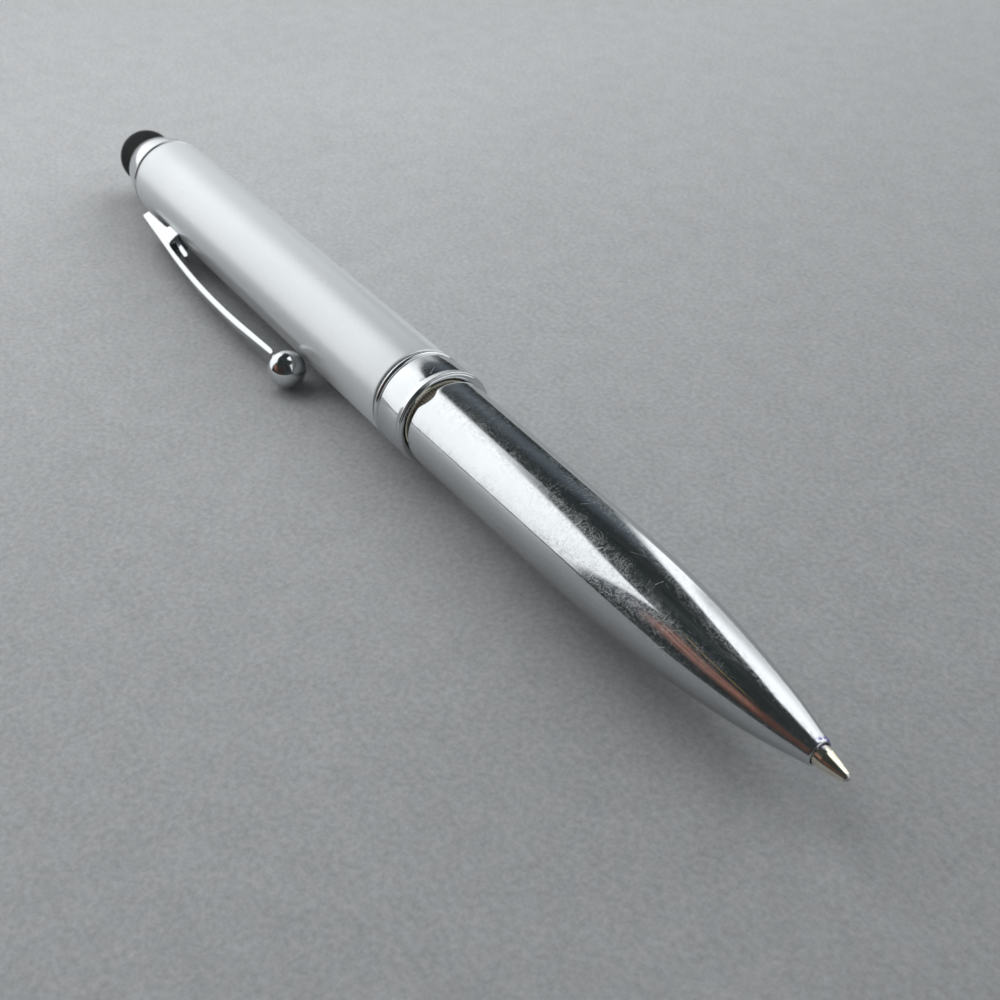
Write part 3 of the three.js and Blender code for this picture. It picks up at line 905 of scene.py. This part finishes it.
clip_outline = root_rear + swept(arm_outer, 64) + arm_end
clip_outline += list(reversed(swept(arm_inner, 60))) + arch + foot + underside


def clip_half(along):
    """Half width: even over the root, eased in, then tapering to the ball."""
    along -= FORWARD
    if along <= 12.0:
        return 1.3
    if along <= 16.0:
        t = (along - 12.0) / 4.0
        return 1.3 - 0.1 * t * t * (3 - 2 * t)
    return 1.2 - 0.32 * ((along - 16.0) / 28.0) ** 1.5


def clip_crown(along, height, share):
    """The outer face is slightly domed across its width."""
    top = float(np.interp(along - FORWARD, [4, 13, 20, 30, 44], [6.66, 7.5, 8.12, 8.42, 7.8]))
    near = max(0.0, 1.0 - (top - height) / 0.12)
    return 0.13 * (1 - share * share) * near


def off_axis(height):
    """Places a turned piece round a line parallel to the axis, on the clip's side."""

    def place(along, radius, angle):
        turn = math.radians(angle)
        return at(along, height + radius * math.cos(turn), CLIP_ANGLE, radius * math.sin(turn))

    return place


neck_profile = [
    (43.7, 0.0), (43.7, 0.34), (44.45, 0.36), (44.75, 0.39), (44.98, 0.45), (45.14, 0.53),
    (45.35, 0.50), (46.0, 0.46), (46.1, 0.4), (46.1, 0.0),
]
clip_plate = resample(moved(clip_outline, FORWARD), 0.5)
clip = slab("spring_clip", clip_plate, clip_half, bevel=0.11, crown=clip_crown, steps=8)
clip = combine(clip, lathe("clip_neck", neck_profile, 48, place=off_axis(7.635)), "UNION")
dress(clip, "chrome_trim")
FLEX_START, FLEX_END, FLEX_HEIGHT = 13.0 + FORWARD, 21.0 + FORWARD, 7.2
at(FLEX_START, FLEX_HEIGHT, CLIP_ANGLE)
at(FLEX_END, FLEX_HEIGHT, CLIP_ANGLE)
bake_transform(clip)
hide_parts("clip_root", "clip_arm")

tongue_outline = [
    (12.85, 5.66), (14.4, 5.78), (16.45, 5.98), (17.2, 6.22), (17.12, 6.58), (16.6, 6.68),
    (15.2, 6.52), (13.9, 6.28), (12.85, 6.15),
]
tongue_plate = resample(moved(rounded(tongue_outline, 0.24, 6, least=18), FORWARD), 0.3)
tongue = slab("clip_tongue", tongue_plate, lambda along: 0.6, bevel=0.12, steps=4)
use(tongue, "upper", "chrome_trim")

BALL_ALONG, BALL_HEIGHT, BALL_RADIUS = 47.3, 7.64, 2.2
MOUTH_RADIUS = 0.6  # where the ball meets its flat-bottomed socket for the neck
ball_profile = [(46.4, 0.0), (46.4, 0.55)]
ball_profile += [(BALL_ALONG - math.sqrt(BALL_RADIUS**2 - MOUTH_RADIUS**2) + 0.03, 0.555)]
mouth_angle = 180.0 - math.degrees(math.asin(MOUTH_RADIUS / BALL_RADIUS))
ball_profile += arc(BALL_ALONG, 0.0, BALL_RADIUS, mouth_angle, 0.0, 72)[:-1]
ball_profile += [(BALL_ALONG + BALL_RADIUS, 0.0)]
ball = lathe("clip_end_ball", ball_profile, 128, place=off_axis(BALL_HEIGHT))
use(ball, "clip", "chrome_trim", "clip_ball")

# ------------------------------------------------------------------ centre ring and sleeve
RING_REAR = 64.65
# Distances from the ring's rear edge: a rear bead, a groove, a swelling and a front bead.
ring_outer = [(0.0, 5.10), (0.01, 5.17)]
ring_outer += arc(0.37, 5.14, 0.32, 168.0, 14.0, 16)
ring_outer += [(0.71, 5.165), (0.75, 5.13), (0.83, 5.12), (0.91, 5.13), (0.94, 5.17), (0.95, 5.25)]
ring_outer += arc(1.03, 5.265, 0.078, 172.0, 98.0, 6)
ring_outer += swept(
    [(1.07, 5.345), (2.0, 5.392), (2.8, 5.41), (3.6, 5.396), (4.2, 5.371), (4.42, 5.358)], 30
)
ring_outer += [
    (4.45, 5.357), (4.50, 5.363), (4.60, 5.382), (4.74, 5.412), (4.88, 5.443), (4.99, 5.470),
    (5.07, 5.490), (5.13, 5.50), (5.18, 5.497), (5.225, 5.482), (5.255, 5.455), (5.275, 5.42),
]
ring_outer += arc(5.06, 5.06, 0.36, 50.0, 12.0, 10)
ring_outer += [(5.42, 5.08), (5.425, 5.02)]
ring_inner = [
    (RING_REAR, 4.76), (69.66, 4.76), (69.66, 4.46), (69.7, 4.42), (70.03, 4.42), (70.07, 4.46),
]
ring = lathe("chrome_centre_ring", tube(moved(ring_outer, RING_REAR), ring_inner), 224)
use(ring, "upper", "chrome_trim", "centre_ring", look="ring_chrome")

sleeve = plain_tube("ring_sleeve_tube", 53.0, 69.6, outer=4.7, inner=4.02, rounding=0.12)
use(sleeve, "upper", "brass", "ring_sleeve")

# ------------------------------------------------------------------ lower barrel
LOWER = 70.62  # rear edge
NOTCH_ANGLE, NOTCH_HALF, NOTCH_DEPTH, NOTCH_FADE = 30.5, 1.28, 0.70, 3.2
NOTCH_RADIUS = 4.8  # radius at which the notch's half width is measured

lower_rim = [(0.0, 4.60), (0.01, 4.66), (0.035, 4.73), (0.08, 4.79), (0.15, 4.84), (0.23, 4.86)]
lower_taper = [
    (70.95, 4.866), (83.0, 4.734), (95.0, 4.6), (103.0, 4.391), (110.0, 3.832), (116.0, 2.99),
    (120.5, 2.134), (123.2, 1.446),
]
lower_mouth = [
    (123.5, 1.375), (123.78, 1.318), (123.92, 1.286), (124.03, 1.245), (124.095, 1.19),
    (124.12, 1.12),
]
lower_inner = [
    (LOWER, 4.38), (LOWER + 0.05, 4.34), (79.4, 4.34), (79.6, 4.1), (94.0, 4.02),
    (103.0, 3.75), (110.0, 3.15), (115.0, 2.45), (119.5, 1.45), (120.9, 1.26), (121.3, 1.0),
    (124.06, 1.0), (124.12, 1.06),
]


def notch(along, angle):
    """The rear edge dips forward in one shallow, lopsided bite."""
    offset = (angle - NOTCH_ANGLE) * math.pi / 180.0 * NOTCH_RADIUS / NOTCH_HALF
    if abs(offset) >= 1.0:
        return 0.0
    skewed = offset + 0.16 * (1 - offset * offset)
    depth = NOTCH_DEPTH * math.cos(min(1.0, abs(skewed)) * math.pi / 2) ** 0.9
    fade = 1.0 - min(1.0, (along - LOWER) / NOTCH_FADE)
    return depth * fade


lower_outer = moved(lower_rim, LOWER) + swept(lower_taper, 150) + lower_mouth
lower = lathe("chrome_lower_barrel", tube(lower_outer, lower_inner), 256, shift=notch)
use(lower, "lower", "chrome_barrel", "lower_barrel")

# ------------------------------------------------------------------ splined neck
SPLINES, SPLINE_HEIGHT = 76, 0.125
SPLINE_SHAPE = [0.0, 0.75, 1.0, 1.0, 0.75, 0.0]  # share of the height across one spline
# Along, base radius, share of the spline height; the outside, then back through the bore.
NECK_STATIONS = [
    (69.75, 4.06, 0.0), (69.8, 4.10, 0.35), (69.9, 4.11, 1.0), (78.7, 4.11, 1.0),
    (79.0, 4.06, 0.5), (79.2, 3.98, 0.0),
    (79.2, 3.3, 0.0), (79.15, 3.26, 0.0), (69.8, 3.26, 0.0), (69.75, 3.3, 0.0),
]


def splined_neck(name):
    """Sleeve whose outside has fine straight splines, rounded on top."""
    sides = SPLINES * len(SPLINE_SHAPE)
    points = [
        at(
            along,
            base + SPLINE_HEIGHT * SPLINE_SHAPE[j % len(SPLINE_SHAPE)] * share,
            360.0 * j / sides,
        )
        for along, base, share in NECK_STATIONS
        for j in range(sides)
    ]
    rows = [range(i * sides, (i + 1) * sides) for i in range(len(NECK_STATIONS))]
    faces = [face for pair in zip(rows, rows[1:] + rows[:1]) for face in band(*pair)]
    return make_mesh(name, points, faces, sharp=50.0)


use(splined_neck("splined_brass_neck"), "lower", "neck_brass", "splined_neck")

# ------------------------------------------------------------------ refill
tip_outer = [
    (117.5, 0.90), (117.55, 0.94), (121.02, 0.94), (121.1, 0.92), (124.80, 0.92),
    (124.88, 0.912), (124.95, 0.888),
]
tip_outer += swept([(125.02, 0.862), (125.6, 0.74), (126.3, 0.57), (126.8, 0.44)], 24)
tip_outer += [(126.88, 0.418), (126.935, 0.40), (126.95, 0.385)]
tip_inner = [
    (117.5, 0.3), (125.6, 0.15), (126.3, 0.15), (126.42, 0.3), (126.5, 0.362), (126.95, 0.362),
]
refill_nose = lathe("refill_nose", tube(tip_outer, tip_inner), 96)
use(refill_nose, "refill", "refill_metal", "refill_tip")

reservoir_outer = [(60.2, 1.095), (60.5, 1.175), (120.6, 1.175), (121.0, 1.055)]
reservoir_profile = rounded(tube(reservoir_outer, [(60.2, 1.0), (121.0, 1.0)]), 0.03)
reservoir = lathe("refill_reservoir", reservoir_profile, 96)
use(reservoir, "refill", "refill_metal", "refill_tube")

column_profile = [
    (66.0, 0.0), (66.05, 0.5), (66.2, 0.8), (66.45, 0.94), (117.0, 0.94), (117.15, 0.85),
    (117.2, 0.0),
]
use(lathe("ink_column_paste", column_profile, 64), "refill", "ink", "ink_column")

POINT_ALONG, POINT_RADIUS = 126.86, 0.35
point_profile = [(POINT_ALONG - POINT_RADIUS, 0.0)]
point_profile += arc(POINT_ALONG, 0.0, POINT_RADIUS, 176.0, 4.0, 40)
point_profile += [(POINT_ALONG + POINT_RADIUS, 0.0)]
use(lathe("point_bearing_ball", point_profile, 64), "point_ball", "steel", "writing_ball")

# ------------------------------------------------------------------ twist mechanism
PIN_ALONG, TRAVEL = 59.1, 5.5  # the guide pin, and how far it moves in half a turn


def helix_cutter(path_radius=3.62, slot_radius=0.78, sides=20, steps=160):
    """Bar along the half turn of the pin's path, run on by 14 degrees at both ends."""
    overrun = math.radians(14.0)
    rings = []
    for i in range(steps + 1):
        turn = -math.pi - overrun + (math.pi + 2 * overrun) * i / steps
        cos, sin = math.cos(math.pi / 2 + turn), math.sin(math.pi / 2 + turn)
        centre = np.array(
            [PIN_ALONG + TRAVEL / math.pi * turn, path_radius * cos, path_radius * sin]
        )
        radial = np.array([0.0, cos, sin])
        tangent = np.array([TRAVEL / math.pi, -path_radius * sin, path_radius * cos])
        tangent /= np.linalg.norm(tangent)
        side = np.cross(tangent, radial)
        ring = []
        for k in range(sides):
            bar = 2 * math.pi * k / sides
            point = (
                centre
                + radial * slot_radius * 1.25 * math.cos(bar)
                + side * slot_radius * math.sin(bar)
            )
            ring.append(in_metres(*point))
        rings.append(ring)
    return loft("helix_cutter", rings)


housing_inner = [(47.0, 3.6), (51.9, 3.6), (51.9, 3.3), (69.4, 3.3)]
housing_profile = rounded(tube([(47.0, 3.95), (69.4, 3.95)], housing_inner), 0.1)
housing = combine(lathe("mechanism_cam_housing", housing_profile), helix_cutter())
use(housing, "upper", "brass", "mechanism_housing")

cap_profile = [
    (45.8, 0.0), (45.8, 3.7), (46.0, 3.9), (46.94, 3.9), (46.94, 3.54), (48.6, 3.54), (48.6, 0.0),
]
cap = lathe("mechanism_cap", rounded(cap_profile, 0.1, closed=False), 128)
use(cap, "upper", "nylon", "mechanism_end_cap")


def slot_cutter(width=1.32, end_gap=0.75, low=1.8, high=4.0, steps=12):
    """Round-ended bar standing up from the axis, over the pin's travel."""
    start, end, half = PIN_ALONG - TRAVEL - end_gap, PIN_ALONG + end_gap, width / 2
    turns = [math.pi * k / steps for k in range(steps + 1)]
    flat = [(end - half + half * math.sin(turn), -half * math.cos(turn)) for turn in turns]
    flat += [(start + half - half * math.sin(turn), half * math.cos(turn)) for turn in turns]
    rings = [[at(along, height, 0.0, side) for along, side in flat] for height in (low, high)]
    return loft("slot_cutter", rings)


# Two grooves in the outside hold the snap ring and the friction ring.
core_outer = [
    (49.3, 3.2), (50.3, 3.2), (50.3, 2.92), (50.9, 2.92), (50.9, 3.2), (63.8, 3.2),
    (63.8, 2.86), (64.6, 2.86), (64.6, 3.2), (77.6, 3.2), (77.8, 3.0),
]
core_profile = rounded(tube(core_outer, [(49.3, 2.55), (77.8, 2.55)]), 0.06)
core = combine(lathe("slotted_twist_core", core_profile), slot_cutter())
use(core, "lower", "steel", "twist_core")

washer = plain_tube("nylon_thrust_washer", 51.45, 51.82, outer=3.52, inner=3.27, rounding=0.05)
use(washer, "lower", "nylon", "thrust_washer")


def snap_ring(name, along=50.6, radius=3.25, half_turn=156.0):
    """Open ring of square wire with rounded edges, its gap downwards."""
    section = rounded([(-0.2, -0.27), (0.2, -0.27), (0.2, 0.27), (-0.2, 0.27)], 0.06)
    angles = [-half_turn + 2 * half_turn * i / 96 for i in range(97)]
    return loft(name, [[at(along + x, radius + y, angle) for x, y in section] for angle in angles])


use(snap_ring("snap_ring"), "lower", "steel", "circlip")

o_ring_turns = [math.radians(angle) for angle in range(0, 360, 15)]
o_ring_profile = [
    (64.2 + 0.3 * math.cos(turn), 3.08 + 0.17 * math.sin(turn)) for turn in o_ring_turns
]
o_ring = lathe("friction_ring_seal", o_ring_profile, 128)
use(o_ring, "lower", "seal_rubber", "friction_o_ring")


def upright(name, levels, sides=48):
    """Round bar standing up at the pin's place; levels are (height, radius)."""
    turns = [2 * math.pi * k / sides for k in range(sides)]
    rings = [
        [
            at(PIN_ALONG + radius * math.cos(turn), height, 0.0, radius * math.sin(turn))
            for turn in turns
        ]
        for height, radius in levels
    ]
    return loft(name, rings)


slider_profile = [
    (57.3, 0.0), (57.3, 2.2), (57.5, 2.45), (62.6, 2.45), (62.8, 2.25), (62.8, 1.24),
    (60.1, 1.24), (60.1, 0.0),
]
slider = lathe("refill_slider", rounded(slider_profile, 0.08, closed=False, least=20), 128)
slider = combine(slider, upright("pin_hole", [(1.35, 0.58), (2.9, 0.58)]))
use(slider, "refill", "brass", "slider")
pin = upright("slider_guide_pin", [(1.42, 0.43), (1.49, 0.5), (3.75, 0.5), (3.82, 0.43)])
use(pin, "refill", "steel", "slider_pin")


# ------------------------------------------------------------------ floor
def paper_look(shaded):
    """Mottled grey paper, with painted shade making it a little darker towards +X. Distances are
    in mm.
    """
    point = shaded.point
    x, y, _ = shaded.parts
    fibre = point.noise(scale=1.6, detail=3.0, rough=0.7)
    mottle = point.noise(scale=0.28, detail=3.0, rough=0.55)
    cloud = point.noise(scale=0.035)
    tint = vector(x + 40.0, y, 3.0).noise(scale=0.6)
    tone = 1.0 + (fibre - 0.5) * 0.75 + (mottle - 0.5) * 0.22 + (cloud - 0.5) * 0.10
    # Painted shade: the colour darkens towards +X, standing in for light falling off away from the
    # window.
    painted_falloff = (x * -0.0030).most(-0.29).least(0.24) + 0.96
    base = tint.mix((0.52, 0.55, 0.568), (0.555, 0.548, 0.553))
    # Far from the pen the paper is evenly lit, as in a cove, so it stays pale from low angles.
    away = (x * x + y * y).math("SQRT").ease(160.0, 700.0)
    glossy = shaded.graph.value("ShaderNodeLightPath", output="Is Glossy Ray")
    # The polished barrel throws some light back on the paper beside it.
    thrown = x.ease(-14.0, 4.0) * x.ease(48.0, 22.0) * y.ease(4.0, -3.0) * y.ease(-34.0, -10.0)
    # Painted light seen only in reflections: in the polished barrel the paper glows paler away
    # from the pen.
    slant = x - y * 0.8
    outwards = y.ease(-8.0, -48.0) * 0.40 + 0.045
    reflected_paper_glow = slant.ease(-6.0, 6.0) * slant.ease(52.0, 30.0) * outwards
    # In reflections the paper ends a short way off on the -Y side, showing the window below.
    edge = ((x + 15.0).most(0.0) * 0.5 + (x - 30.0).most(0.0) * 0.9 - 68.0).least(-30.0)
    return {
        "Base Color": (tone * painted_falloff).scale_colour(base),
        "Roughness": 0.9,
        "Specular IOR Level": 0.25,
        "Normal": bump(fibre + mottle * 0.6, distance=0.00006, strength=0.6),
        "Emission Color": tone.scale_colour(base),
        "Emission Strength": away * 0.25 + thrown * 0.040 + glossy * reflected_paper_glow,
        "see-through": glossy * (y - edge).ease(0.0, -1.5),
    }


floor = make_mesh("floor", [(-3, -3, 0), (3, -3, 0), (3, 3, 0), (-3, 3, 0)], [(0, 1, 2, 3)])
paper = material("grey_paper", paper_look, (0.7, 0.72, 0.74), metallic=0.0, roughness=0.9)
paper.cycles.emission_sampling = "NONE"
floor.data.materials.append(paper)


# ------------------------------------------------------------------ studio light
def build_world():
    """Soft boxes and cards, painted by elevation and by bearing from each one's middle, in
    degrees. Bearings run from +X towards +Y."""
    world = bpy.data.worlds.new("studio")
    bpy.context.scene.world = world
    world.use_nodes = True
    graph = Graph(world.node_tree)
    x, y, z = graph.value("ShaderNodeTexCoord", output="Generated").split()
    height = z.math("ARCSINE") * (180.0 / math.pi)

    def turn_from(bearing):
        cos, sin = math.cos(math.radians(bearing)), math.sin(math.radians(bearing))
        turn = (y * cos - x * sin).math("ARCTAN2", x * cos + y * sin)
        return turn * (180.0 / math.pi)

    # The large window towards -X, its top edge sloping down at both ends.
    turn = turn_from(-160.0)
    top = 49.4 - turn.ramp(3.0, 24.0, to=(0.0, 3.2)) - turn.ramp(-23.0, -61.0, to=(0.0, 32.0))
    blur = turn.ramp(-26.0, -4.0, to=(4.0, 1.5))
    window = (
        turn.ease(37.0, 34.2)
        * turn.ease(-62.0, -54.0)
        * height.ease(top + blur, top - blur)
        * height.ease(-3.7, -2.9)
    )
    # The second soft box, towards +Y.
    box_turn = turn_from(92.0)
    box = (
        (box_turn + (height - 30.0).most(0.0) * 0.13).ease(35.2, 30.8)
        * box_turn.ease(-36.0, -28.0)
        * height.ease(84.0, 76.0)
        * height.ease(0.6, 1.4)
    )
    # The fill card, towards +X and +Y.
    fill = abs(turn_from(34.0)).ease(31.0, 26.0) * height.ease(56.0, 46.0) * height.ease(2.0, 5.0)
    # The warm, dark card beside the camera, towards -Y.
    card_turn = turn_from(-108.0)
    warm = (
        abs(card_turn).ease(15.0, 8.0)
        * card_turn.ease(-12.0, -5.0)
        * height.ease(52.0, 34.0)
        * height.ease(4.0, 14.0)
    )
    brown = abs(turn_from(-92.0)).ease(13.0, 5.0) * height.ease(36.0, 24.0)
    brown = brown * height.ease(-2.0, 10.0)
    umber = abs(turn_from(-58.0)).ease(30.0, 12.0) * height.ease(60.0, 30.0)

    # The dark room, with faint tints.
    murk = vector(x, y, z).noise(scale=3.2, detail=4.0, rough=0.6)
    room = murk.ease(0.35, 0.7).mix((0.030, 0.036, 0.037), (0.062, 0.070, 0.069))
    veil = turn.ease(54.0, 38.0) * height.ease(46.0, 26.0) * height.ease(4.0, 22.0)
    room = (umber * 0.8).mix(room, (0.052, 0.036, 0.032))
    room = (brown * 0.85).mix(room, (0.13, 0.062, 0.048))
    room = (veil * 0.55).mix(room, (0.175, 0.21, 0.245))
    level = height + card_turn * 0.73  # runs along the pen in the reflection
    stripes = vector(level * 0.42, card_turn * 0.035, 5.0).noise(scale=1.0, rough=0.55)
    stripes = stripes.ease(0.40, 0.58)
    wide = abs(level - 24.0).ease(13.0, 7.0)
    room = (warm * wide * (stripes * 0.9 + 0.1)).mix(room, (0.50, 0.245, 0.19))
    thread = abs(height + card_turn * 0.54 - 42.6).ease(1.3, 0.5)
    thread = thread * abs(card_turn).ease(11.0, 6.0)
    room = (thread * 0.8).mix(room, (0.40, 0.31, 0.13))

    # The lights over the room, each with its own falloff.
    glow = fill.mix(room, (0.92, 0.95, 0.96))
    dimmed = box_turn.ease(27.0, 24.5) * box_turn.ease(8.0, 21.0, to=(0.5, 1.0))
    side = 1.0 - dimmed * height.ease(48.0, 12.0) * 0.5
    glow = box.mix(glow, side.scale_colour((1.62, 1.66, 1.68)))
    bright = (
        turn.ramp(-20.0, 36.0, to=(1.75, 1.42))
        * height.ramp(-4.0, 14.0, to=(0.86, 1.0))
        * turn.ramp(-16.0, -50.0, to=(1.0, 0.40))
    )
    glow = window.mix(glow, bright.scale_colour((0.985, 1.0, 1.01)))
    # The camera sees a plain grey backdrop instead.
    backdrop = height.ease(-2.0, 35.0).mix((0.32, 0.33, 0.34), (0.42, 0.43, 0.44))
    camera_ray = graph.value("ShaderNodeLightPath", output="Is Camera Ray")
    colour = camera_ray.mix(glow, backdrop)
    background = graph.value("ShaderNodeBackground", {0: colour, 1: 1.0})
    graph.node("ShaderNodeOutputWorld", {0: background})


build_world()

key_light = bpy.data.lights.new("key", "AREA")
key_light.shape = "RECTANGLE"
key_light.size = key_light.size_y = 0.20
key_light.energy = 0.20
key_light.color = (1.0, 0.99, 0.975)
key = add_object("key", key_light)
key.location = (-0.17, -0.02, 0.26)
key.rotation_mode = "QUATERNION"
# It points at the origin.
key.rotation_quaternion = Vector((-0.17, -0.02, 0.26)).to_track_quat("Z", "Y")
key.visible_camera = False
key.visible_glossy = False

# ------------------------------------------------------------------ camera
lens = bpy.data.cameras.new("camera")
lens.sensor_width, lens.lens = 36.0, 48.6
lens.clip_start, lens.clip_end = 0.005, 20.0
camera = add_object("camera", lens)
camera.matrix_world = Matrix(
    (
        (0.55675, -0.50894, 0.65651, 0.11104),
        (0.83068, 0.34111, -0.44002, -0.057247),
        (0.0, 0.79033, 0.61267, 0.08399),
        (0.0, 0.0, 0.0, 1.0),
    )
)
focus = add_object("focus_point", None)
focus.location = (0.026, 0.0, 0.009)
lens.dof.use_dof = True
lens.dof.focus_object = focus
lens.dof.aperture_fstop = 85.0
bpy.context.scene.camera = camera
view = bpy.context.scene.view_settings
view.view_transform = "Standard"
view.look = "None"
view.exposure, view.gamma = 0.0, 1.0

bpy.context.view_layer.update()
